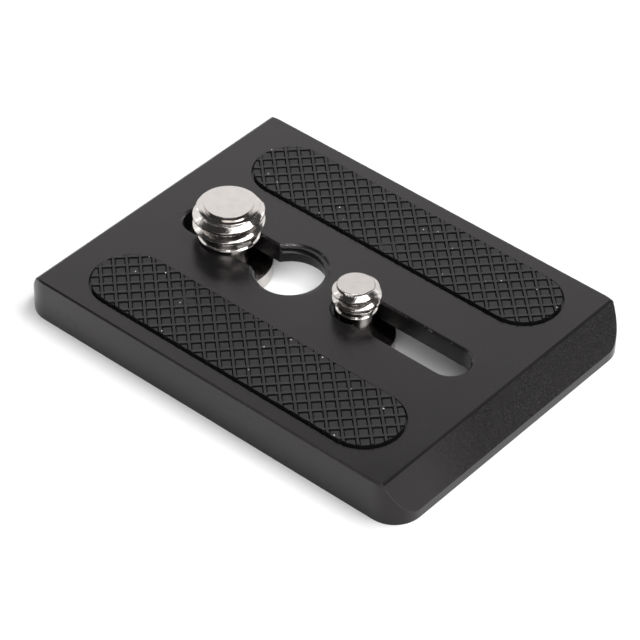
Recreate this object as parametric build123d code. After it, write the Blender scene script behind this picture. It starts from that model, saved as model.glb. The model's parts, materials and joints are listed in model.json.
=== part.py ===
from build123d import *
import os
from math import cos, hypot, radians, sin, sqrt, tan

# Tripod quick release plate: a dovetail plate with two rubber pads on its top and two
# camera screws that stay captive in their slots. It lies on a table, with its origin at
# the middle of the underside, X along the slots, Y across them and Z up.

# Driving dimensions, in millimetres and degrees

# Plate, with a sloped end over a lip at both ends of X
plate_length = 64.0
plate_width = 46.5
plate_thickness = 6.3
corner_radius = 4.1
lip_height = 1.35
end_slope = 30.0
edge_break = 0.2

# Slots and threaded holes on the middle line
slot_width = 5.5
mouth_chamfer = 0.27
channel_end_wall = 2.95
hole_pair_shift = -0.13
large_hole_clearance = 0.27
small_hole_clearance = 0.1

# Camera screws: large in the slot at -X, small in the slot at +X
large_thread_diameter = 9.525
large_thread_pitch = 1.5875
large_thread_length = 5.25
large_first_crest = 1.6
large_top_diameter = 6.45
large_head_diameter = 11.7
large_head_height = 2.4
large_screw_travel_left = 4.5

small_thread_diameter = 6.35
small_thread_pitch = 1.27
small_thread_length = 3.75
small_first_crest = 0.87
small_top_diameter = 4.4
small_head_diameter = 10.4
small_head_height = 2.2
small_screw_from_hole = 0.0

coin_slot_width = 1.6
coin_slot_depth = 1.1

# Form of a thread: its depth as a share of a sharp 60 degree triangle's height, and the
# flat land on its crest as a share of the pitch
thread_depth_share = 0.625
crest_land_share = 0.125

# Room between the screws and what they move in
head_side_clearance = 2.3
head_pair_gap = 0.2
screw_lift = 1.05
neck_clearance = 0.2
neck_end_clearance = 0.15
neck_relief = 0.2
thread_over_plate = 0.2

# Rubber pads with a raised diagonal net, cut from a larger sheet
pad_width = 10.4
pad_side_margin = 2.55
pad_end_margin = 4.35
pad_recess = 0.6
pad_stand = 0.45
pad_clearance = 0.28
front_pad_shift = 0.15
rear_pad_shift = 0.6
net_pitch = 1.745
net_ridge = 0.38
net_depth = 0.22
net_turn = 46.5
front_net_start = (0.42, -0.26)
rear_net_start = (0.51, -0.52)

# Sizes that follow from the driving dimensions

cut_overrun = 1.0
top_length = plate_length - 2 * (plate_thickness - lip_height) * tan(radians(end_slope))

channel_width = large_head_diameter + 2 * head_side_clearance
channel_length = plate_length - 2 * channel_end_wall
channel_depth = max(large_head_height, small_head_height) + screw_lift
web_thickness = plate_thickness - channel_depth
slot_end = (channel_length - channel_width) / 2

hole_spacing = (large_head_diameter + small_head_diameter) / 2 + head_pair_gap
large_hole_x = hole_pair_shift - hole_spacing / 2
small_hole_x = hole_pair_shift + hole_spacing / 2
large_hole_radius = large_thread_diameter / 2 + large_hole_clearance
small_hole_radius = small_thread_diameter / 2 + small_hole_clearance

thread_base = plate_thickness + thread_over_plate

pad_length = top_length - 2 * pad_end_margin
pad_y = plate_width / 2 - pad_side_margin - pad_width / 2
pad_thickness = pad_recess + pad_stand


def thread_root_radius(diameter, pitch):
    """Radius at the bottom of a 60 degree thread."""
    sharp_height = sqrt(3) / 2 * pitch
    return diameter / 2 - thread_depth_share * sharp_height


def neck_radius(diameter, pitch):
    """A neck that passes both the threaded hole and the slot."""
    through_hole = thread_root_radius(diameter, pitch) - neck_relief
    through_slot = slot_width / 2 - neck_clearance
    return min(through_hole, through_slot)


def thread_profile(diameter, pitch, length, first_crest, top_diameter):
    """Outline points (radius, height) of a thread, from the top of its neck to its flat top."""
    crest = diameter / 2
    root = thread_root_radius(diameter, pitch)
    crest_land = crest_land_share * pitch
    top = thread_base + length
    crest_count = int((length - first_crest - crest_land) / pitch) + 1
    points = [(neck_radius(diameter, pitch), thread_base)]
    for turn in reversed(range(crest_count)):
        height = top - first_crest - turn * pitch
        points.append((crest, height - crest_land / 2))
        points.append((crest, height + crest_land / 2))
        if turn > 0:
            points.append((root, height + pitch / 2))
    points.append((top_diameter / 2, top))
    points.append((0, top))
    return points


def camera_screw(x, neck, head_diameter, head_height, thread):
    """A turned screw standing on its head, with a coin slot across the underside."""
    head = head_diameter / 2
    outline = [(0, 0), (head, 0), (head, head_height), (neck, head_height)]
    with BuildPart() as screw:
        with BuildSketch(Plane.XZ):
            with BuildLine():
                Polyline(*outline, *thread, close=True)
            make_face()
        revolve(axis=Axis.Z)
        with BuildSketch():
            Rectangle(coin_slot_width, head_diameter + cut_overrun)
        extrude(amount=coin_slot_depth, mode=Mode.SUBTRACT)
    return Pos(x, 0, 0) * screw.part


def slot_openings():
    """Both slots and the threaded holes that they run into, as one flat shape."""
    with BuildSketch() as openings:
        for hole_x, hole_radius, end_x in (
            (large_hole_x, large_hole_radius, -slot_end),
            (small_hole_x, small_hole_radius, slot_end),
        ):
            with Locations((hole_x, 0)):
                Circle(hole_radius)
            with Locations(((hole_x + end_x) / 2, 0)):
                Rectangle(abs(end_x - hole_x), slot_width)
            with Locations((end_x, 0)):
                Circle(slot_width / 2)
    return openings.sketch


def plate_body():
    """The machined plate with its sloped ends, slots, holes, channel and pad recesses."""
    with BuildPart() as plate:
        with BuildSketch():
            RectangleRounded(plate_length, plate_width, corner_radius)
        extrude(amount=plate_thickness)

        # Sloped ends that a clamp's jaws press down on
        high = plate_thickness + cut_overrun
        run = (high - lip_height) * tan(radians(end_slope))
        with BuildSketch(Plane.XZ):
            for side in (-1, 1):
                end = plate_length / 2
                with BuildLine():
                    Polyline(
                        (side * end, lip_height),
                        (side * (end + cut_overrun), lip_height),
                        (side * (end + cut_overrun), high),
                        (side * (end - run), high),
                        close=True,
                    )
                make_face()
        extrude(amount=plate_width, both=True, mode=Mode.SUBTRACT)
        chamfer(plate.faces().sort_by(Axis.Z)[-1].edges(), edge_break)

        # Channel in the underside, where the screw heads run
        with BuildSketch():
            SlotOverall(channel_length, channel_width)
        extrude(amount=channel_depth, mode=Mode.SUBTRACT)

        # Slots and threaded holes through the web above the channel
        with BuildSketch(Plane.XY.offset(channel_depth)):
            add(slot_openings())
        extrude(amount=web_thickness, mode=Mode.SUBTRACT)
        top = plate.faces().filter_by(Axis.Z).sort_by(Axis.Z)[-1]
        chamfer([edge for wire in top.inner_wires() for edge in wire.edges()], mouth_chamfer)

        # Shallow recesses that hold the pads
        with BuildSketch(Plane.XY.offset(plate_thickness)):
            with Locations((front_pad_shift, -pad_y), (rear_pad_shift, pad_y)):
                SlotOverall(pad_length + 2 * pad_clearance, pad_width + 2 * pad_clearance)
        extrude(amount=-pad_recess, mode=Mode.SUBTRACT)
    return plate.part


def net_pockets(net_start):
    """Middles of the pockets that lie well inside the pad, counted from a ridge crossing."""
    straight = (pad_length - pad_width) / 2
    turn = radians(net_turn)
    reach = int(pad_length / net_pitch)
    middles = []
    for row in range(-reach, reach):
        for column in range(-reach, reach):
            along = (column + 0.5) * net_pitch
            across = (row + 0.5) * net_pitch
            x = net_start[0] + along * cos(turn) - across * sin(turn)
            y = net_start[1] + along * sin(turn) + across * cos(turn)
            from_spine = hypot(max(abs(x) - straight, 0), y)
            if from_spine < pad_width / 2 - net_ridge:
                middles.append((x, y))
    return middles


def rubber_pad(x, y, net_start):
    """A round-ended pad: a flat sheet under a net of ridges with open square pockets."""
    pocket = net_pitch - net_ridge
    with BuildSketch() as outline:
        SlotOverall(pad_length, pad_width)
    with BuildSketch() as net:
        add(outline.sketch)
        with Locations(*net_pockets(net_start)):
            Rectangle(pocket, pocket, rotation=net_turn, mode=Mode.SUBTRACT)
    with BuildPart() as pad:
        add(outline.sketch)
        extrude(amount=pad_thickness - net_depth)
        with BuildSketch(Plane.XY.offset(pad_thickness - net_depth)):
            add(net.sketch)
        extrude(amount=net_depth)
    return Pos(x, y, plate_thickness - pad_recess) * pad.part


def large_camera_screw():
    """The large screw, part of the way along its slot."""
    neck = neck_radius(large_thread_diameter, large_thread_pitch)
    stop_x = -slot_end - slot_width / 2 + neck + neck_end_clearance
    thread = thread_profile(
        large_thread_diameter, large_thread_pitch, large_thread_length, large_first_crest, large_top_diameter
    )
    x = stop_x + large_screw_travel_left
    return camera_screw(x, neck, large_head_diameter, large_head_height, thread)


def small_camera_screw():
    """The small screw, over its threaded hole."""
    neck = neck_radius(small_thread_diameter, small_thread_pitch)
    thread = thread_profile(
        small_thread_diameter, small_thread_pitch, small_thread_length, small_first_crest, small_top_diameter
    )
    x = small_hole_x + small_screw_from_hole
    return camera_screw(x, neck, small_head_diameter, small_head_height, thread)


nodes = {
    "plate_body": plate_body(),
    "front_pad": rubber_pad(front_pad_shift, -pad_y, front_net_start),
    "rear_pad": rubber_pad(rear_pad_shift, pad_y, rear_net_start),
    "large_camera_screw": large_camera_screw(),
    "small_camera_screw": small_camera_screw(),
}

os.makedirs("parts", exist_ok=True)
for name, solid in nodes.items():
    export_step(solid, os.path.join("parts", name + ".step"))
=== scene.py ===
"""Looks of the tripod quick release plate: threads, rubber nets, finishes, light and camera."""
import json
from math import asin, ceil, cos, pi, radians, sin, sqrt, tan

import bmesh
import bpy
import numpy as np
from mathutils import Matrix, Vector


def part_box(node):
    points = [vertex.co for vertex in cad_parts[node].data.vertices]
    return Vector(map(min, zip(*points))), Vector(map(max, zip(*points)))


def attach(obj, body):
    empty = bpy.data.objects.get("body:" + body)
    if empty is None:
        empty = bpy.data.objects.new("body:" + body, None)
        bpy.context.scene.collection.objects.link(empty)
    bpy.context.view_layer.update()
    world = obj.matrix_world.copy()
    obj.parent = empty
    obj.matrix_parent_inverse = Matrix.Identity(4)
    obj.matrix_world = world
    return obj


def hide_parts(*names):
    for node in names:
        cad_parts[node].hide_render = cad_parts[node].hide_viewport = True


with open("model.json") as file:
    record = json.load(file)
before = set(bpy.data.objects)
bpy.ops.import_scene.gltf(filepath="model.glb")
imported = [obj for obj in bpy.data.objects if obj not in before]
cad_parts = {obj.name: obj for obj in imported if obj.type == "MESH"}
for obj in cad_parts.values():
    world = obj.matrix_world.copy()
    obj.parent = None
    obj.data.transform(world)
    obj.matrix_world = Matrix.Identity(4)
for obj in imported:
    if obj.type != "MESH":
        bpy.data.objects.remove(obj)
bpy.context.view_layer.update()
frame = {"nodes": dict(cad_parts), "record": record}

MM = 0.001

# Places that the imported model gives, in millimetres
PLATE_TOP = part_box("plate_body")[1].z / MM
MOUNTS = {mount["name"]: mount for mount in frame["record"]["mounts"]}

# Camera fitted to the plate's outline in the photograph
CAMERA_DISTANCE = 412.08 * MM
CAMERA_AZIMUTH = radians(40.06)
CAMERA_ELEVATION = radians(41.01)
CAMERA_ROLL = radians(-1.06)
CAMERA_LENS = 178.2
CAMERA_SENSOR = 36.0
CAMERA_SHIFT = (-0.0051, 0.0083)
CAMERA_CLIP_START = 0.01

# Level directions, as angles from the plate's X
TOWARDS_CAMERA = CAMERA_AZIMUTH - pi / 2
AWAY_FROM_CAMERA = CAMERA_AZIMUTH + pi / 2

# Sixty degree thread: depth as a share of its sharp height, flat lands as shares of its pitch
THREAD_DEPTH_SHARE = 0.625
CREST_LAND = 0.125
ROOT_LAND = 0.25
FLANK_ANGLE = radians(30)

# Slots and tapped holes of the plate, in millimetres
SLOT_HALF_WIDTH = 2.75
MOUTH_CHAMFER = 0.27
CHANNEL_DEPTH = 3.45
LARGE_HOLE_X, LARGE_HOLE_RADIUS = -5.755, 5.0325
SMALL_HOLE_X, SMALL_HOLE_RADIUS = 5.495, 3.275


# Tools for pieces

SHADING_ANGLE = 35.0
BALL_SUBDIVISIONS = 2
RIPPLE_WAVES = 7
RIPPLE_SPREAD = (0.6, 1.6)


def new_object(name, bm):
    """An object from a bmesh."""
    mesh = bpy.data.meshes.new(name)
    bm.to_mesh(mesh)
    bm.free()
    piece = bpy.data.objects.new(name, mesh)
    bpy.context.scene.collection.objects.link(piece)
    return piece


def finish_piece(piece, body, material, node=None, angle=SHADING_ANGLE):
    """Smooth shading, finish and body of a piece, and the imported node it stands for."""
    mesh = piece.data
    mesh.polygons.foreach_set("use_smooth", np.ones(len(mesh.polygons), bool))
    mesh.set_sharp_from_angle(angle=radians(angle))
    mesh.materials.clear()
    mesh.materials.append(material)
    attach(piece, body)
    if node:
        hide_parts(node)


def add_ball(bm, radius, matrix):
    """Adds a small ball of a radius in millimetres, moved and stretched by a matrix."""
    bmesh.ops.create_icosphere(bm, subdivisions=BALL_SUBDIVISIONS, radius=radius * MM, matrix=matrix)


def ripple(x, y, size, seed):
    """Smooth unevenness between -1 and 1, from a few crossing waves of about the given size."""
    chance = np.random.default_rng(seed)
    total = np.zeros_like(x)
    for _ in range(RIPPLE_WAVES):
        turn = chance.uniform(0, 2 * pi)
        phase = chance.uniform(0, 2 * pi)
        length = size * chance.uniform(*RIPPLE_SPREAD)
        total += np.sin((x * cos(turn) + y * sin(turn)) * 2 * pi / length + phase)
    return total / RIPPLE_WAVES


# Materials

class Shader:
    """A principled material, with short calls for the nodes that feed it."""

    def __init__(self, name):
        self.material = bpy.data.materials.new(name)
        self.material.use_nodes = True
        self.tree = self.material.node_tree
        self.surface = self.tree.nodes["Principled BSDF"]
        self.place = self.add("ShaderNodeTexCoord").outputs["Object"]

    def add(self, kind, **values):
        node = self.tree.nodes.new(kind)
        for key, value in values.items():
            setattr(node, key, value)
        return node

    def link(self, source, target):
        self.tree.links.new(source, target)

    def noise(self, size, detail=3.0, roughness=0.5):
        """Noise with cells of the given size in metres."""
        node = self.add("ShaderNodeTexNoise")
        self.link(self.place, node.inputs["Vector"])
        node.inputs["Scale"].default_value = 1 / size
        node.inputs["Detail"].default_value = detail
        node.inputs["Roughness"].default_value = roughness
        return node.outputs["Fac"]

    def turned_noise(self, axis_x, size):
        """Noise that runs in rings around an upright axis."""
        shift = self.add("ShaderNodeVectorMath", operation="SUBTRACT")
        self.link(self.place, shift.inputs[0])
        shift.inputs[1].default_value = (axis_x, 0, 0)
        flat = self.add("ShaderNodeVectorMath", operation="MULTIPLY")
        self.link(shift.outputs["Vector"], flat.inputs[0])
        flat.inputs[1].default_value = (1, 1, 0)
        radius = self.add("ShaderNodeVectorMath", operation="LENGTH")
        self.link(flat.outputs["Vector"], radius.inputs[0])
        rings = self.add("ShaderNodeCombineXYZ")
        self.link(radius.outputs["Value"], rings.inputs["X"])
        self.link(self.axis(self.place, "Z"), rings.inputs["Z"])
        node = self.add("ShaderNodeTexNoise")
        self.link(rings.outputs["Vector"], node.inputs["Vector"])
        node.inputs["Scale"].default_value = 1 / size
        return node.outputs["Fac"]

    def remap(self, value, low, high, to_low=0.0, to_high=1.0):
        """Value spread from one range to another, held at both ends."""
        node = self.add("ShaderNodeMapRange")
        self.link(value, node.inputs["Value"])
        node.inputs["From Min"].default_value = low
        node.inputs["From Max"].default_value = high
        node.inputs["To Min"].default_value = to_low
        node.inputs["To Max"].default_value = to_high
        return node.outputs["Result"]

    def choose(self, mask, off, on):
        """One number where a mask is zero, and another where it is one."""
        return self.remap(mask, 0.0, 1.0, off, on)

    def rise(self, value, limits):
        """Mask that goes from zero to one between two limits in millimetres."""
        low, high = limits
        return self.remap(value, low * MM, high * MM)

    def fall(self, value, limits):
        """Mask that goes from one to zero between two limits in millimetres."""
        low, high = limits
        return self.remap(value, low * MM, high * MM, 1.0, 0.0)

    def multiply(self, first, *others):
        """Product of values, or the part that several masks share."""
        product = first
        for other in others:
            node = self.add("ShaderNodeMath", operation="MULTIPLY")
            self.link(product, node.inputs[0])
            self.link(other, node.inputs[1])
            product = node.outputs["Value"]
        return product

    def mix(self, factor, first, second):
        """Blend of two colours, each a colour or the output of a node."""
        node = self.add("ShaderNodeMix", data_type="RGBA")
        self.link(factor, node.inputs["Factor"])
        sockets = [socket for socket in node.inputs if socket.type == "RGBA"]
        for socket, value in zip(sockets, (first, second)):
            if isinstance(value, tuple):
                socket.default_value = (*value, 1.0)
            else:
                self.link(value, socket)
        return next(socket for socket in node.outputs if socket.type == "RGBA")

    def bump(self, height, distance, strength, normal=None):
        node = self.add("ShaderNodeBump")
        self.link(height, node.inputs["Height"])
        node.inputs["Distance"].default_value = distance
        node.inputs["Strength"].default_value = strength
        if normal is not None:
            self.link(normal, node.inputs["Normal"])
        return node.outputs["Normal"]

    def face_normal(self):
        """Normal of the flat face, without any smoothing."""
        return self.add("ShaderNodeNewGeometry").outputs["True Normal"]

    def rounded(self, radius):
        """Normal of the surface with its edges rounded."""
        node = self.add("ShaderNodeBevel", samples=6)
        node.inputs["Radius"].default_value = radius
        return node.outputs["Normal"]

    def on_edges(self, radius):
        """One along the edges, where rounding them turns the surface, and zero elsewhere."""
        node = self.add("ShaderNodeVectorMath", operation="DOT_PRODUCT")
        self.link(self.rounded(radius), node.inputs[0])
        self.link(self.face_normal(), node.inputs[1])
        return self.remap(node.outputs["Value"], low=0.9, high=0.99, to_low=1.0, to_high=0.0)

    def axis(self, vector, name):
        """One coordinate of a vector."""
        node = self.add("ShaderNodeSeparateXYZ")
        self.link(vector, node.inputs["Vector"])
        return node.outputs[name]

    def band(self, value, middle, half_width):
        """One inside a band of values and zero outside it."""
        node = self.add("ShaderNodeMath", operation="COMPARE")
        self.link(value, node.inputs[0])
        node.inputs[1].default_value = middle
        node.inputs[2].default_value = half_width
        return node.outputs["Value"]

    def set(self, **values):
        """Sets or links the shader's own sockets, named with underscores for spaces."""
        for key, value in values.items():
            socket = self.surface.inputs[key.replace("_", " ")]
            if isinstance(value, bpy.types.NodeSocket):
                self.link(value, socket)
            elif isinstance(value, tuple):
                socket.default_value = (*value, 1.0)
            else:
                socket.default_value = value


# Anodised finish: its darkest and lightest black, the tint of its shine, its roughness
ANODISED_BLACKS = ((0.0061, 0.0057, 0.0059), (0.0085, 0.008, 0.0081))
ANODISED_TINT = (0.96, 0.895, 0.925)
ANODISED_ROUGHNESS = (0.24, 0.28)
COATING_IOR = 1.5

# Colours of the plate's marks: sand grain, painted reflection, painted highlight, painted sheen and
# bare metal
SAND_BLACKS = ((0.0, 0.0, 0.0), (0.022, 0.0206, 0.0211))
# Paler plain colour on the front of the slopes: a painted reflection
PAINTED_REFLECTION_SLOPE = (0.025, 0.0234, 0.024)
# Light line where a slope meets the front corner: a painted highlight
PAINTED_CREASE_HIGHLIGHT = (0.12, 0.112, 0.115)
# Paler broken edges away from the slots, paler towards the right: a painted sheen
PAINTED_EDGE_SHEEN = (0.028, 0.0262, 0.0269)
BARE_METAL = (0.33, 0.325, 0.32)

# Shine of the plate and of its slots' walls, and shares of it on duller faces
PLATE_SHINE = 0.5
SLOT_WALL_SHINE = 0.2
END_EDGE_SHARE = 0.5
FRONT_WALL_SHARE = 0.74

# Stretches of the plate where its marks begin and end, in millimetres
SLOTS_HALF_LENGTH = 27.0
SLOTS_HALF_BREADTH = 6.5
FRONT_WALL_Y = (-21.5, -19.5)
FRONT_WALL_X = (-28.0, -8.0)
# Where the slopes' painted reflection fades into sand grain
SAND_PAST_REFLECTION_Y = (-17.0, -6.0)
CREASE_Y = (-19.3, -18.3)
CREASE_Z = (5.6, 5.9)
CREASE_WIDTH = 0.16
PAINTED_EDGE_SHEEN_X = (-36.0, 18.0)


class PlateMasks:
    """Masks on the plate: one on some of its faces or stretches, and zero elsewhere."""

    def __init__(self, shader):
        along, across, height = [shader.axis(shader.place, name) for name in "XYZ"]

        # Kinds of faces, told apart by the upward part of their normals
        tilt = shader.axis(shader.face_normal(), "Z")
        upright = shader.band(tilt, middle=0.0, half_width=0.1)
        chamfers = shader.band(tilt, middle=0.707, half_width=0.05)
        self.slopes = shader.band(tilt, middle=0.5, half_width=0.05)
        self.end_edges = shader.band(tilt, middle=0.866, half_width=0.03)

        # Slopes get a paler plain colour in front, a painted reflection, and sand grain further back
        self.sand_past_painted_reflection = shader.rise(across, SAND_PAST_REFLECTION_Y)

        # Slot walls and edges are the only upright and tilted faces near the plate's middle line
        in_the_middle = shader.band(across, middle=0.0, half_width=SLOTS_HALF_BREADTH * MM)
        off_the_ends = shader.band(along, middle=0.0, half_width=SLOTS_HALF_LENGTH * MM)
        near_slots = shader.multiply(in_the_middle, off_the_ends)
        off_slots = shader.choose(near_slots, 1.0, 0.0)
        self.slot_walls = shader.multiply(upright, near_slots)
        self.slot_edges = shader.multiply(chamfers, near_slots)
        # Broken edges away from the slots get a painted sheen that grows towards the right
        self.edge_sheen_mask = shader.multiply(chamfers, off_slots, shader.rise(along, PAINTED_EDGE_SHEEN_X))

        # The front wall, and the line where a slope meets the rounded corner in front, which gets a
        # painted highlight
        at_front = shader.fall(across, FRONT_WALL_Y)
        self.front_wall = shader.multiply(upright, at_front, shader.rise(along, FRONT_WALL_X))
        on_rims = shader.multiply(shader.on_edges(CREASE_WIDTH * MM), self.slopes)
        at_corner = shader.fall(across, CREASE_Y)
        below_top = shader.fall(height, CREASE_Z)
        self.crease_highlight_mask = shader.multiply(on_rims, at_corner, below_top)


def anodising(name):
    """A shader of fine matt black anodising, and the node of its colour."""
    shader = Shader(name)
    grain = shader.noise(size=0.12 * MM, detail=4.0, roughness=0.6)
    cloud = shader.noise(size=9 * MM)
    smooth_edges = shader.rounded(radius=0.12 * MM)
    black = shader.mix(shader.remap(cloud, low=0.35, high=0.65), *ANODISED_BLACKS)
    shader.set(
        Base_Color=black,
        Roughness=shader.remap(cloud, 0.3, 0.7, *ANODISED_ROUGHNESS),
        Normal=shader.bump(grain, distance=0.012 * MM, strength=0.25, normal=smooth_edges),
        IOR=COATING_IOR,
        Specular_Tint=ANODISED_TINT,
    )
    return shader, black


def plate_colour(shader, masks, black):
    """Black with sand-grained slopes whose paler front is a painted reflection, a painted highlight
    line at their front corners and a painted sheen on the broken edges.
    """
    sand = shader.remap(shader.noise(size=0.2 * MM, detail=2.0), low=0.4, high=0.68)
    # Painted reflection: a paler plain colour on the slopes' front, fading into sand grain further
    # back
    slope = shader.mix(masks.sand_past_painted_reflection, PAINTED_REFLECTION_SLOPE, shader.mix(sand, *SAND_BLACKS))
    colour = shader.mix(masks.slopes, black, slope)
    # Painted highlight along the line where a slope meets the front corner
    colour = shader.mix(masks.crease_highlight_mask, colour, PAINTED_CREASE_HIGHLIGHT)
    # Painted sheen on the broken edges
    return shader.mix(masks.edge_sheen_mask, colour, PAINTED_EDGE_SHEEN)


def plate_shine(shader, masks):
    """Shine that is lower on the slots' walls, the slopes' top edges and the front wall."""
    return shader.multiply(
        shader.choose(masks.slot_walls, PLATE_SHINE, SLOT_WALL_SHINE),
        shader.choose(masks.end_edges, 1.0, END_EDGE_SHARE),
        shader.choose(masks.front_wall, 1.0, FRONT_WALL_SHARE),
    )


def plate_anodising():
    """Anodising with the plate's marks and its painted reflection, highlight and sheen, worn to bare
    metal in specks on the slots' edges.
    """
    shader, black = anodising("anodised_aluminium")
    masks = PlateMasks(shader)
    colour = plate_colour(shader, masks, black)
    specks = shader.remap(shader.noise(size=0.3 * MM, detail=4.0, roughness=0.7), low=0.6, high=0.67)
    bare = shader.multiply(masks.slot_edges, specks)
    shader.set(
        Base_Color=shader.mix(bare, colour, BARE_METAL),
        Metallic=bare,
        Specular_IOR_Level=plate_shine(shader, masks),
    )
    return shader.material


def thread_anodising():
    """Plain anodising, for the threads of the tapped holes."""
    shader, _ = anodising("anodised_thread")
    return shader.material


RUBBER_BLACKS = ((0.004, 0.004, 0.0041), (0.0065, 0.0064, 0.0063))
RUBBER_TINT = (1.0, 0.935, 0.965)
RUBBER_ROUGHNESS = (0.44, 0.52)


def pad_rubber():
    """Matt black rubber."""
    shader = Shader("pad_rubber")
    grain = shader.noise(size=0.09 * MM, detail=4.0, roughness=0.65)
    cloud = shader.noise(size=3 * MM, detail=4.0)
    shader.set(
        Base_Color=shader.mix(shader.remap(cloud, low=0.3, high=0.7), *RUBBER_BLACKS),
        Roughness=shader.remap(cloud, 0.3, 0.7, *RUBBER_ROUGHNESS),
        Normal=shader.bump(grain, distance=0.03 * MM, strength=0.3),
        IOR=COATING_IOR,
        Specular_Tint=RUBBER_TINT,
    )
    return shader.material


NICKEL = ((0.56, 0.529, 0.507), (0.61, 0.578, 0.556))
NICKEL_ROUGHNESS = (0.1, 0.15)
LARGE_SCREW_TONE = 0.98
SMALL_SCREW_TONE = 0.87


def plated_steel(name, axis_x, tone):
    """Bright nickel plating of a tone, with turning marks around a screw's axis."""
    shader = Shader(name)
    cloud = shader.noise(size=1.2 * MM, detail=4.0)
    marks = shader.turned_noise(axis_x * MM, size=0.16 * MM)
    specks = shader.noise(size=0.12 * MM, detail=4.0, roughness=0.7)
    smooth_edges = shader.rounded(radius=0.05 * MM)
    turned = shader.bump(marks, distance=0.03 * MM, strength=0.2, normal=smooth_edges)
    dark, light = [tuple(tone * value for value in colour) for colour in NICKEL]
    shader.set(
        Base_Color=shader.mix(shader.remap(cloud, low=0.3, high=0.7), dark, light),
        Metallic=1.0,
        Roughness=shader.remap(cloud, 0.3, 0.7, *NICKEL_ROUGHNESS),
        Normal=shader.bump(specks, distance=0.006 * MM, strength=0.3, normal=turned),
    )
    return shader.material


# Matt finishes: two colours, and the size in metres of the patches that they make
DUST_COLOURS = ((0.5, 0.48, 0.45), (0.75, 0.73, 0.7))
DUST_PATCHES = 0.1 * MM
FLOOR_COLOURS = ((0.9, 0.9, 0.9), (0.92, 0.92, 0.92))
FLOOR_PATCHES = 0.2
MATT_ROUGHNESS = 0.9


def matt(name, size, colours):
    """A matt finish that changes between two colours in patches of a size."""
    shader = Shader(name)
    shader.set(
        Base_Color=shader.mix(shader.noise(size), *colours),
        Roughness=MATT_ROUGHNESS,
    )
    return shader.material


# Camera screws

AROUND = 240
HEAD_EDGE = 0.3
HEAD_EDGE_STEPS = 4
COIN_SLOT_WIDTH = 1.6
COIN_SLOT_DEPTH = 1.1
COIN_SLOT_OVERRUN = 1.0
RUN_OUT_SLOPE = 1.7
LEAN_HEIGHT = 1.2

# Thread: places down a flank, turns drawn past each end, and waves in a turn with their phases
FLANK_SHARES = (0.0, 0.03, 0.25, 0.5, 0.75, 0.97, 1.0)
SPARE_TURNS = 2
THREAD_UNEVENNESS = 0.018
THREAD_WAVES = ((9.3, 0.2), (23.7, 1.1), (41.9, 2.3), (67.1, 4.0))

# Points closer than this are one, and edges shorter than this are dropped, in metres
WELD_DISTANCE = 1e-6
SHORTEST_EDGE = 1e-7

# Lumps of the burr: degrees from the side towards the camera, drop from the flat end, and size
BURR_LUMPS = (
    (-32, 0.08, 0.1), (-28, 0.2, 0.13), (-23, 0.1, 0.11), (-20, 0.28, 0.12),
    (-15, 0.12, 0.12), (-12, 0.26, 0.1), (-8, 0.08, 0.08),
)
BURR_ROUGHNESS = 0.02
BURR_REACH = 0.09
BURR_STRETCH = (0.6, 1.3)
BURR_SEED = 9


class ScrewForm:
    """Sizes of one camera screw, in millimetres from the table up."""

    def __init__(self, node, mount, pitch, neck, head_height, tip, tip_slope, lean, tilt,
                 collar, run_out, thread_base, crest_drop):
        low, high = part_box(node)
        self.node = node
        self.x = (low.x + high.x) / 2 / MM
        self.top = high.z / MM
        self.head = (high.x - low.x) / 2 / MM
        self.crest = MOUNTS[mount]["dims"]["r_mm"]
        self.pitch = pitch
        self.root = self.crest - thread_depth(pitch)
        self.neck = neck
        self.head_height = head_height
        self.tip = tip
        self.tip_slope = tip_slope
        self.lean = lean
        self.tilt = tilt
        self.collar = collar
        self.run_out = run_out
        self.thread_base = thread_base
        self.crest_drop = crest_drop


def thread_depth(pitch):
    """Depth of a sixty degree thread."""
    return THREAD_DEPTH_SHARE * sqrt(3) / 2 * pitch


def thread_rows(form):
    """One pitch of the thread's outline, as (share of the pitch, radius) from crest to crest."""
    flank = (1 - CREST_LAND - ROOT_LAND) / 2
    depth = form.crest - form.root
    rows = [(-CREST_LAND / 2, form.crest)]
    for share in FLANK_SHARES:
        rows.append((CREST_LAND / 2 + flank * share, form.crest - depth * share))
    for share in FLANK_SHARES[:-1]:
        rows.append((CREST_LAND / 2 + flank + ROOT_LAND + flank * share, form.root + depth * share))
    return rows


def end_limit(form, height):
    """Largest radius that the chamfer at the top and the run-out at the base allow."""
    tip_radius, tip_drop = form.tip[0]
    from_top = tip_radius + form.tip_slope * (form.top - tip_drop - height)
    above_run_out = max(0, height - form.thread_base - form.run_out)
    from_base = form.root + above_run_out * RUN_OUT_SLOPE
    return min(form.crest, from_top, from_base)


def screw_rings(form):
    """Rings (radius, height) of the head, the neck and the collar, from the table up."""
    rings = [(form.head - HEAD_EDGE, 0.0), (form.head, HEAD_EDGE)]
    for step in range(HEAD_EDGE_STEPS + 1):
        turn = pi / 2 * step / HEAD_EDGE_STEPS
        radius = form.head - HEAD_EDGE * (1 - cos(turn))
        height = form.head_height - HEAD_EDGE * (1 - sin(turn))
        rings.append((radius, height))
    rings.append((form.neck, form.head_height))
    rings.append((form.neck, form.thread_base))
    for radius, rise in form.collar:
        rings.append((radius, form.thread_base + rise))
    return rings


def thread_ripple(turns):
    """Unevenness between -1 and 1 along the thread's path, counted in turns."""
    total = sum(sin(2 * pi * count * turns + phase) for count, phase in THREAD_WAVES)
    return total / len(THREAD_WAVES)


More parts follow.
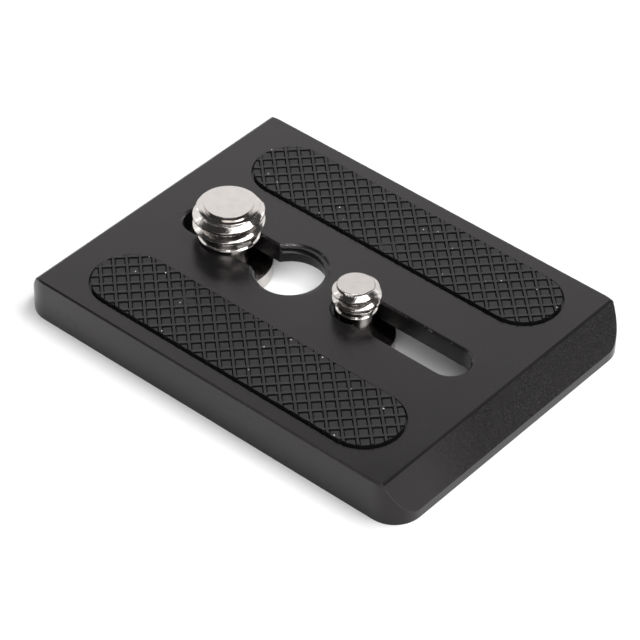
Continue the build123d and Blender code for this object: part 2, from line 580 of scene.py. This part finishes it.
def screw_mesh(form):
    """The whole screw as one closed skin: head, neck and a right-hand helical thread."""
    bm = bmesh.new()

    def vertex(radius, angle, height):
        share = max(0, 1 - (form.top - height) / LEAN_HEIGHT)
        x = form.x + radius * cos(angle) + share * form.lean * cos(CAMERA_AZIMUTH)
        y = radius * sin(angle) + share * form.lean * sin(CAMERA_AZIMUTH)
        z = height + share * form.tilt * radius * cos(angle - TOWARDS_CAMERA)
        return bm.verts.new((x * MM, y * MM, z * MM))

    def row(radius_height):
        return [vertex(*radius_height(2 * pi * step / AROUND)) for step in range(AROUND + 1)]

    def join(rows):
        for lower, upper in zip(rows, rows[1:]):
            for step in range(AROUND):
                bm.faces.new((lower[step], lower[step + 1], upper[step + 1], upper[step]))

    rings = [row(lambda a, r=radius, h=height: (r, a, h)) for radius, height in screw_rings(form)]
    join(rings)
    bm.faces.new(reversed(rings[0][:-1]))

    # Rows rise by one pitch in each turn, so the last step of a row meets the next turn's row
    turns = ceil((form.top - form.thread_base) / form.pitch) + 2 * SPARE_TURNS
    first = form.top - form.crest_drop - (turns - SPARE_TURNS) * form.pitch
    tip_radius, tip_drop = form.tip[0]
    tip_height = form.top - tip_drop
    base_radius, base_rise = form.collar[-1]
    base_height = form.thread_base + base_rise
    lines = []
    for turn in range(turns):
        for share, radius in thread_rows(form):

            def place(a, share=share, radius=radius, turn=turn):
                rise = turn + share + (a - TOWARDS_CAMERA) / (2 * pi)
                height = first + rise * form.pitch
                if height >= tip_height:
                    return tip_radius, a, tip_height
                if height <= base_height:
                    return base_radius, a, base_height
                limit = end_limit(form, height)
                if radius < limit:
                    return radius + THREAD_UNEVENNESS * thread_ripple(rise), a, height
                return limit, a, height

            lines.append(row(place))
    for radius, drop in form.tip[1:]:
        lines.append(row(lambda a, r=radius, h=form.top - drop: (r, a, h)))
    join(lines)
    bm.faces.new(lines[-1][:-1])
    bmesh.ops.remove_doubles(bm, verts=bm.verts, dist=WELD_DISTANCE)
    bmesh.ops.dissolve_degenerate(bm, dist=SHORTEST_EDGE, edges=bm.edges)
    bmesh.ops.recalc_face_normals(bm, faces=bm.faces)
    return bm


def cut_coin_slot(piece, form):
    """Takes the coin slot out of the head's underside."""
    block = bmesh.new()
    bmesh.ops.create_cube(block, size=1.0)
    length = 2 * form.head + COIN_SLOT_OVERRUN
    size = (COIN_SLOT_WIDTH * MM, length * MM, 2 * COIN_SLOT_DEPTH * MM)
    bmesh.ops.scale(block, vec=size, verts=block.verts)
    bmesh.ops.translate(block, vec=(form.x * MM, 0, 0), verts=block.verts)
    cutter = new_object("coin_slot_cutter", block)
    cut = piece.modifiers.new("coin_slot", "BOOLEAN")
    cut.object = cutter
    cut.operation = "DIFFERENCE"
    cut.solver = "EXACT"
    bpy.context.view_layer.update()
    slotted = piece.evaluated_get(bpy.context.evaluated_depsgraph_get())
    result = bpy.data.meshes.new_from_object(slotted)
    piece.modifiers.clear()
    piece.data = result
    bpy.data.objects.remove(cutter)


def camera_screw(form, name, body, material):
    """The skin of one screw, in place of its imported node."""
    piece = new_object(name, screw_mesh(form))
    cut_coin_slot(piece, form)
    finish_piece(piece, body, material, form.node)


def burr(form, name, body, material):
    """Ragged pale crumbs at the edge of a screw's flat end, at the left of its front."""
    chance = np.random.default_rng(BURR_SEED)
    bm = bmesh.new()
    radius = form.tip[1][0] + BURR_REACH
    for turn, drop, size in BURR_LUMPS:
        angle = TOWARDS_CAMERA + radians(turn)
        x = form.x + radius * cos(angle) + form.lean * cos(CAMERA_AZIMUTH)
        y = radius * sin(angle) + form.lean * sin(CAMERA_AZIMUTH)
        z = form.top - drop + form.tilt * radius * cos(radians(turn))
        place = Vector((x, y, z)) * MM
        stretch = Matrix.Diagonal((*chance.uniform(*BURR_STRETCH, 3), 1.0))
        add_ball(bm, size, Matrix.Translation(place) @ Matrix.Rotation(angle, 4, "Z") @ stretch)
    for vertex in bm.verts:
        vertex.co += Vector(chance.uniform(-1, 1, 3)) * BURR_ROUGHNESS * MM
    finish_piece(new_object(name, bm), body, material)


# Threads of the tapped holes, in millimetres

HOLE_THREAD_PITCH = 1.0
HOLE_RIDGE_DEPTH = 0.4
HOLE_RIDGE_TOP = 5.32
HOLE_RIDGE_STEPS = 96
WALL_BITE = 0.05

# Heights where the ridges start and where they are full, as shares of the hole's wall
RIDGE_START_SHARE = 0.35
RIDGE_FULL_SHARE = 0.7


def hole_thread(name, x, wall, slot_turn, material):
    """Low helical ridges on a tapped hole's wall, cut off where the slot runs in."""
    low, high = CHANNEL_DEPTH, PLATE_TOP - MOUTH_CHAMFER
    base = wall + WALL_BITE
    crest = wall - HOLE_RIDGE_DEPTH
    half_land = ROOT_LAND / 2
    half_base = half_land + (HOLE_RIDGE_DEPTH + WALL_BITE) * tan(FLANK_ANGLE) / HOLE_THREAD_PITCH
    corners = ((base, -half_base), (crest, -half_land), (crest, half_land), (base, half_base))
    start_height = low + RIDGE_START_SHARE * (high - low)
    full_height = low + RIDGE_FULL_SHARE * (high - low)
    bm = bmesh.new()

    def point(radius, share, turn, along):
        opening = asin(min(1, SLOT_HALF_WIDTH / radius))
        angle = slot_turn + opening + along * 2 * (pi - opening)
        rise = turn + share + (angle - AWAY_FROM_CAMERA) / (2 * pi)
        height = min(max(HOLE_RIDGE_TOP + (rise - half_land) * HOLE_THREAD_PITCH, low), high)
        strength = min(max((height - start_height) / (full_height - start_height), 0), 1)
        reach = base - (base - radius) * strength
        return (x + reach * cos(angle)) * MM, reach * sin(angle) * MM, height * MM

    turns = int((high - low) / HOLE_THREAD_PITCH) + SPARE_TURNS
    for turn in range(-turns, turns):
        sections = []
        for step in range(HOLE_RIDGE_STEPS + 1):
            along = step / HOLE_RIDGE_STEPS
            section = [point(radius, share, turn, along) for radius, share in corners]
            if section[-1][2] - section[0][2] > WALL_BITE * MM:
                sections.append([bm.verts.new(place) for place in section])
        if len(sections) < 2:
            continue
        for first, second in zip(sections, sections[1:]):
            for k in range(len(corners)):
                after = (k + 1) % len(corners)
                bm.faces.new((first[k], first[after], second[after], second[k]))
        bm.faces.new(sections[0])
        bm.faces.new(reversed(sections[-1]))
    bmesh.ops.recalc_face_normals(bm, faces=bm.faces)
    finish_piece(new_object(name, bm), "plate", material)


# Rubber pads

# Net in millimetres, with a ridge crossing of each pad counted from the pad's middle
NET_PITCH = 1.745
NET_TURN = radians(46.5)
NET_DEPTH = 0.1
GROOVE_DEPTH_ALONG = 0.26
GROOVE_DEPTH_ACROSS = 0.42
FRONT_NET_START = (0.34, -0.18)
REAR_NET_START = (0.43, -0.44)

# Outline of the net from the middle of a ridge: ridge height and groove depths as shares
RIDGE_DISTANCES = (0.0, 0.13, 0.16, 0.19, 0.23, 0.28, 0.33, 0.38, 0.44, NET_PITCH / 2)
RIDGE_HEIGHTS = (1.0, 1.0, 0.85, 0.3, 0.0, 0.0, 0.0, 0.0, 0.0, 0.1)
ALONG_SHARES = (0.0, 0.0, 0.15, 0.75, 1.0, 0.75, 0.1, 0.0, 0.0, 0.0)
ACROSS_SHARES = (0.0, 0.0, 0.15, 0.8, 1.0, 1.0, 0.9, 0.45, 0.0, 0.0)

# Depth of the groove behind a ridge, as a share of the one in front of it
ALONG_BEHIND = 0.5
ACROSS_BEHIND = 0.0

# Unevenness of the net's lines, of the cut rim and of the top: size and length of its waves
NET_WANDER, NET_WANDER_LENGTH = 0.025, 2.0
RIM_ROUGHNESS, RIM_ROUGHNESS_LENGTH = 0.03, 0.5
PAD_SAG, PAD_SAG_LENGTH = 0.012, 1.5
FRONT_PAD_SEED = 11
REAR_PAD_SEED = 23
PAD_SHADING_ANGLE = 30.0

# Worn patches of the net: place on the plate, size and strength
WORN_PATCHES = (
    (-11.7, -13.7, 1.5, 0.75),
    (1.0, 11.3, 1.3, 0.9),
    (5.4, -11.7, 1.0, 0.5),
)

# Places on the plate of the specks of dust and lint that lie on the pads
DUST = (
    (-9.0, 13.6), (-16.0, 17.4), (-5.4, 18.5), (-23.9, 16.9), (-20.8, 12.7), (-18.7, 12.1),
    (-10.2, 10.9), (-6.9, 12.0), (2.3, 17.4), (4.0, 18.3), (7.6, 16.9), (20.9, 17.7),
    (25.0, 16.6), (16.4, 16.0), (15.0, 14.6), (9.9, 12.0), (-20.8, -10.7), (-17.0, -11.6),
    (-20.1, -14.0), (-11.6, -14.7), (-9.6, -20.3), (3.7, -10.7), (8.9, -10.6), (10.0, -12.6),
    (15.4, -12.7), (20.7, -12.8), (2.1, -14.0), (19.3, -20.5), (3.5, -18.5),
)
DUST_SIZES = (0.06, 0.1)
DUST_STRETCH = (1.0, 1.6)
DUST_FLATNESS = 0.7
DUST_SEED = 5


def net_outline(distance, shares, behind=1.0):
    """Height at a distance across ridges, from shares in front of a ridge and behind it."""
    past_ridge = (distance + NET_PITCH / 2) % NET_PITCH - NET_PITCH / 2
    height = np.interp(np.abs(past_ridge), RIDGE_DISTANCES, shares)
    return np.where(past_ridge > 0, behind * height, height)


def net_drop(along, across):
    """How far the net lies below the pad's top, in millimetres."""
    ridge = np.maximum(net_outline(along, RIDGE_HEIGHTS), net_outline(across, RIDGE_HEIGHTS))
    along_groove = GROOVE_DEPTH_ALONG * net_outline(along, ALONG_SHARES, ALONG_BEHIND)
    across_groove = GROOVE_DEPTH_ACROSS * net_outline(across, ACROSS_SHARES, ACROSS_BEHIND)
    return (1 - ridge) * (NET_DEPTH + np.maximum(along_groove, across_groove))


def net_lines(length):
    """Lines of a grid that follows the ridges' outline."""
    reach = ceil(length / 2 / NET_PITCH) + 1
    steps = [-d for d in RIDGE_DISTANCES[1:-1]] + list(RIDGE_DISTANCES)
    return np.array(sorted(k * NET_PITCH + step for k in range(-reach, reach + 1) for step in steps))


def worn(x, y):
    """How far the net is worn away at a place on the plate."""
    total = np.zeros_like(x)
    for patch_x, patch_y, size, strength in WORN_PATCHES:
        total += strength * np.exp(-((x - patch_x) ** 2 + (y - patch_y) ** 2) / size ** 2)
    return np.minimum(total, 1)


def clipped_grid(bm, points, outside):
    """Adds a grid's squares, cut along the line where the distance outside the outline is zero."""
    corners = {}
    cuts = {}

    def corner(key):
        if key not in corners:
            corners[key] = bm.verts.new(points[key] * MM)
        return corners[key]

    def cut(first, second):
        key = (min(first, second), max(first, second))
        if key not in cuts:
            share = outside[key[0]] / (outside[key[0]] - outside[key[1]])
            cuts[key] = bm.verts.new((points[key[0]] * (1 - share) + points[key[1]] * share) * MM)
        return cuts[key]

    inside = outside < 0
    any_inside = inside[:-1, :-1] | inside[1:, :-1] | inside[1:, 1:] | inside[:-1, 1:]
    for i, j in np.argwhere(any_inside).tolist():
        ring = [(i, j), (i + 1, j), (i + 1, j + 1), (i, j + 1)]
        face = []
        for here, after in zip(ring, ring[1:] + ring[:1]):
            if inside[here]:
                face.append(corner(here))
            if inside[here] != inside[after]:
                face.append(cut(here, after))
        if len(face) > 2:
            bm.faces.new(face)


def close_below(bm, height):
    """Walls from the open edge of a sheet down to a flat underside."""
    rim = [edge for edge in bm.edges if edge.is_boundary]
    grown = bmesh.ops.extrude_edge_only(bm, edges=rim)["geom"]
    for part in grown:
        if isinstance(part, bmesh.types.BMVert):
            part.co.z = height * MM
    bottom = [part for part in grown if isinstance(part, bmesh.types.BMEdge) and part.is_boundary]
    bmesh.ops.edgeloop_fill(bm, edges=bottom)
    bmesh.ops.recalc_face_normals(bm, faces=bm.faces)


def rubber_pad(node, name, start, seed, material):
    """A die-cut pad with its net of soft ridges."""
    low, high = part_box(node)
    middle = (low + high) / 2 / MM
    size = (high - low) / MM
    straight = (size.x - size.y) / 2
    lines = net_lines(size.x)
    along, across = np.meshgrid(lines, lines, indexing="ij")
    x = start[0] + along * cos(NET_TURN) - across * sin(NET_TURN)
    y = start[1] + along * sin(NET_TURN) + across * cos(NET_TURN)
    x += NET_WANDER * ripple(x, y, NET_WANDER_LENGTH, seed)
    y += NET_WANDER * ripple(x, y, NET_WANDER_LENGTH, seed + 1)
    outside = np.hypot(np.maximum(np.abs(x) - straight, 0), y) - size.y / 2
    outside += RIM_ROUGHNESS * (1 + ripple(x, y, RIM_ROUGHNESS_LENGTH, seed + 2))

    wear = worn(x + middle.x, y + middle.y)
    drop = net_drop(along, across) * (1 - wear) + NET_DEPTH / 2 * wear
    sag = PAD_SAG * (1 + ripple(x, y, PAD_SAG_LENGTH, seed + 3))
    z = high.z / MM - drop - sag
    points = np.stack([x + middle.x, y + middle.y, z], axis=-1)
    bm = bmesh.new()
    clipped_grid(bm, points, outside)
    close_below(bm, low.z / MM)
    finish_piece(new_object(name, bm), "plate", material, node, angle=PAD_SHADING_ANGLE)


def dust_specks(material):
    """Small specks that lie on the pads."""
    chance = np.random.default_rng(DUST_SEED)
    bm = bmesh.new()
    pad_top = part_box("rear_pad")[1].z / MM
    for x, y in DUST:
        size = chance.uniform(*DUST_SIZES)
        turn = Matrix.Rotation(chance.uniform(0, 2 * pi), 4, "Z")
        stretch = Matrix.Diagonal((chance.uniform(*DUST_STRETCH), 1.0, DUST_FLATNESS, 1.0))
        place = Matrix.Translation(Vector((x, y, pad_top - NET_DEPTH / 2)) * MM)
        add_ball(bm, size, place @ turn @ stretch)
    finish_piece(new_object("pad_dust", bm), "plate", material)


# Stage, in metres

SURROUNDINGS = 0.045
FLOOR_HALF_SIZE = 3.0
BACKDROP_DISTANCE = 0.45
BACKDROP_SIZE = (1.2, 0.45)
BACKDROP_BRIGHTNESS = 1.2

# Side panels of the backdrop: name, place to the right, and where they end towards the camera
SIDE_PANELS = (
    ("backdrop_left", -0.5, -0.03),
    ("backdrop_right", 0.5, -0.08),
)

# Soft boxes that face straight down: name, place, size and brightness
SOFT_BOX_HEIGHT = 0.7
SOFT_BOXES = (
    ("soft_box_front", (0.33, -0.31), (0.6, 0.62), 2.4),
    ("soft_box_back", (0.33, 0.15), (0.6, 0.3), 8.3),
    ("soft_box_low", (0.6, -0.93), (0.8, 0.55), 6.0),
)

# Narrow lamp that shines through the large hole
KEYHOLE_TARGET = Vector((-6.9, 4.4, 0.0)) * MM
KEYHOLE_RISE = radians(40.2)
KEYHOLE_DISTANCE = 0.6
KEYHOLE_POWER = 13.0
KEYHOLE_SPREAD = radians(1.1)
KEYHOLE_BLEND = 0.8
KEYHOLE_LAMP_SIZE = 0.004


def direction(azimuth, elevation):
    """Unit vector from the plate towards a camera or lamp in front of it."""
    level = cos(elevation)
    return Vector((level * sin(azimuth), -level * cos(azimuth), sin(elevation)))


def add_to_scene(name, data, place, facing):
    """Adds a light at a place, facing along a vector."""
    lamp = bpy.data.objects.new(name, data)
    lamp.location = place
    lamp.rotation_euler = facing.to_track_quat("-Z", "Y").to_euler()
    bpy.context.scene.collection.objects.link(lamp)


def soft_box(name, place, aim, size, brightness):
    """A flat light that faces a point, with the given radiance."""
    light = bpy.data.lights.new(name, "AREA")
    light.shape = "RECTANGLE"
    light.size, light.size_y = size
    light.energy = brightness * pi * size[0] * size[1]
    add_to_scene(name, light, place, Vector(aim) - Vector(place))


def keyhole_light():
    """A narrow soft lamp that reaches the table through the large hole."""
    towards = direction(CAMERA_AZIMUTH, KEYHOLE_RISE)
    light = bpy.data.lights.new("keyhole_light", "SPOT")
    light.energy = KEYHOLE_POWER
    light.spot_size = KEYHOLE_SPREAD
    light.spot_blend = KEYHOLE_BLEND
    light.shadow_soft_size = KEYHOLE_LAMP_SIZE
    add_to_scene("keyhole_light", light, KEYHOLE_TARGET + towards * KEYHOLE_DISTANCE, -towards)


def pale_floor():
    """The table, much larger than the view."""
    sheet = bmesh.new()
    bmesh.ops.create_grid(sheet, x_segments=1, y_segments=1, size=FLOOR_HALF_SIZE)
    floor = new_object("floor", sheet)
    floor.data.materials.append(matt("pale_floor", FLOOR_PATCHES, FLOOR_COLOURS))


def dim_surroundings():
    """An even dim light from all around."""
    world = bpy.data.worlds.new("studio")
    bpy.context.scene.world = world
    world.use_nodes = True
    background = world.node_tree.nodes["Background"]
    background.inputs["Color"].default_value = (SURROUNDINGS, SURROUNDINGS, SURROUNDINGS, 1)


def backdrop():
    """A bright panel behind the plate, with one more at each side of it."""
    towards = direction(CAMERA_AZIMUTH, 0.0)
    right = Vector((cos(CAMERA_AZIMUTH), sin(CAMERA_AZIMUTH), 0))
    height = BACKDROP_SIZE[1]
    up = Vector((0, 0, height / 2))
    soft_box("backdrop", up - towards * BACKDROP_DISTANCE, up, BACKDROP_SIZE, BACKDROP_BRIGHTNESS)
    for name, side, front in SIDE_PANELS:
        middle = up + towards * (front - BACKDROP_DISTANCE) / 2
        size = (front + BACKDROP_DISTANCE, height)
        soft_box(name, middle + right * side, middle, size, BACKDROP_BRIGHTNESS)


def studio():
    """Pale floor and backdrop, with soft boxes above at the right, in dim surroundings."""
    pale_floor()
    dim_surroundings()
    backdrop()
    for name, (x, y), size, brightness in SOFT_BOXES:
        soft_box(name, (x, y, SOFT_BOX_HEIGHT), (x, y, 0.0), size, brightness)
    keyhole_light()


def photo_camera():
    """The photograph's own view."""
    back = direction(CAMERA_AZIMUTH, CAMERA_ELEVATION)
    right = Vector((cos(CAMERA_AZIMUTH), sin(CAMERA_AZIMUTH), 0))
    up = back.cross(right)
    turned_right = right * cos(CAMERA_ROLL) - up * sin(CAMERA_ROLL)
    turned_up = right * sin(CAMERA_ROLL) + up * cos(CAMERA_ROLL)
    camera = bpy.data.cameras.new("photo_camera")
    camera.lens = CAMERA_LENS
    camera.sensor_width = CAMERA_SENSOR
    camera.shift_x, camera.shift_y = CAMERA_SHIFT
    camera.clip_start = CAMERA_CLIP_START
    holder = bpy.data.objects.new("photo_camera", camera)
    axes = Matrix((turned_right, turned_up, back)).transposed().to_4x4()
    holder.matrix_world = Matrix.Translation(back * CAMERA_DISTANCE) @ axes
    bpy.context.scene.collection.objects.link(holder)
    bpy.context.scene.camera = holder


# The dressed part

def dress(node, material):
    """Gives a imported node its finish."""
    mesh = frame["nodes"][node].data
    mesh.materials.clear()
    mesh.materials.append(material)


aluminium = plate_anodising()
thread_black = thread_anodising()
rubber = pad_rubber()
dust = matt("pale_dust", DUST_PATCHES, DUST_COLOURS)

dress("plate_body", aluminium)
hole_thread("large_hole_thread", LARGE_HOLE_X, LARGE_HOLE_RADIUS, pi, thread_black)
hole_thread("small_hole_thread", SMALL_HOLE_X, SMALL_HOLE_RADIUS, 0.0, thread_black)
rubber_pad("front_pad", "front_pad_net", FRONT_NET_START, FRONT_PAD_SEED, rubber)
rubber_pad("rear_pad", "rear_pad_net", REAR_NET_START, REAR_PAD_SEED, rubber)
dust_specks(dust)

# Tips are (radius, drop from the top) and collars are (radius, rise from the thread's base)
large_screw = ScrewForm(
    node="large_camera_screw",
    mount="large_camera_thread",
    pitch=1.5875,
    neck=2.55,
    head_height=2.4,
    tip=((4.12, 0.58), (4.06, 0.54), (3.29, 0.52), (3.25, 0.0)),
    tip_slope=1.0,
    lean=0.0,
    tilt=0.0,
    collar=((3.95, 0.0), (4.14, 0.1), (4.14, 0.2), (3.91, 0.36)),
    run_out=1.0,
    thread_base=6.5,
    crest_drop=1.6,
)
small_screw = ScrewForm(
    node="small_camera_screw",
    mount="small_camera_thread",
    pitch=1.27,
    neck=2.29,
    head_height=2.2,
    tip=((2.47, 0.25), (2.43, 0.08), (2.38, 0.03)),
    tip_slope=1.7,
    lean=-0.16,
    tilt=0.08,
    collar=((2.55, 0.0), (2.72, 0.05), (2.72, 0.12), (2.5, 0.26)),
    run_out=0.75,
    thread_base=6.36,
    crest_drop=2.06,
)
large_steel = plated_steel("plated_steel_large", large_screw.x, LARGE_SCREW_TONE)
small_steel = plated_steel("plated_steel_small", small_screw.x, SMALL_SCREW_TONE)
camera_screw(large_screw, "large_screw_skin", "large_screw", large_steel)
camera_screw(small_screw, "small_screw_skin", "small_screw", small_steel)
burr(small_screw, "small_screw_burr", "small_screw", dust)

studio()
photo_camera()
bpy.context.scene.view_settings.view_transform = "Standard"
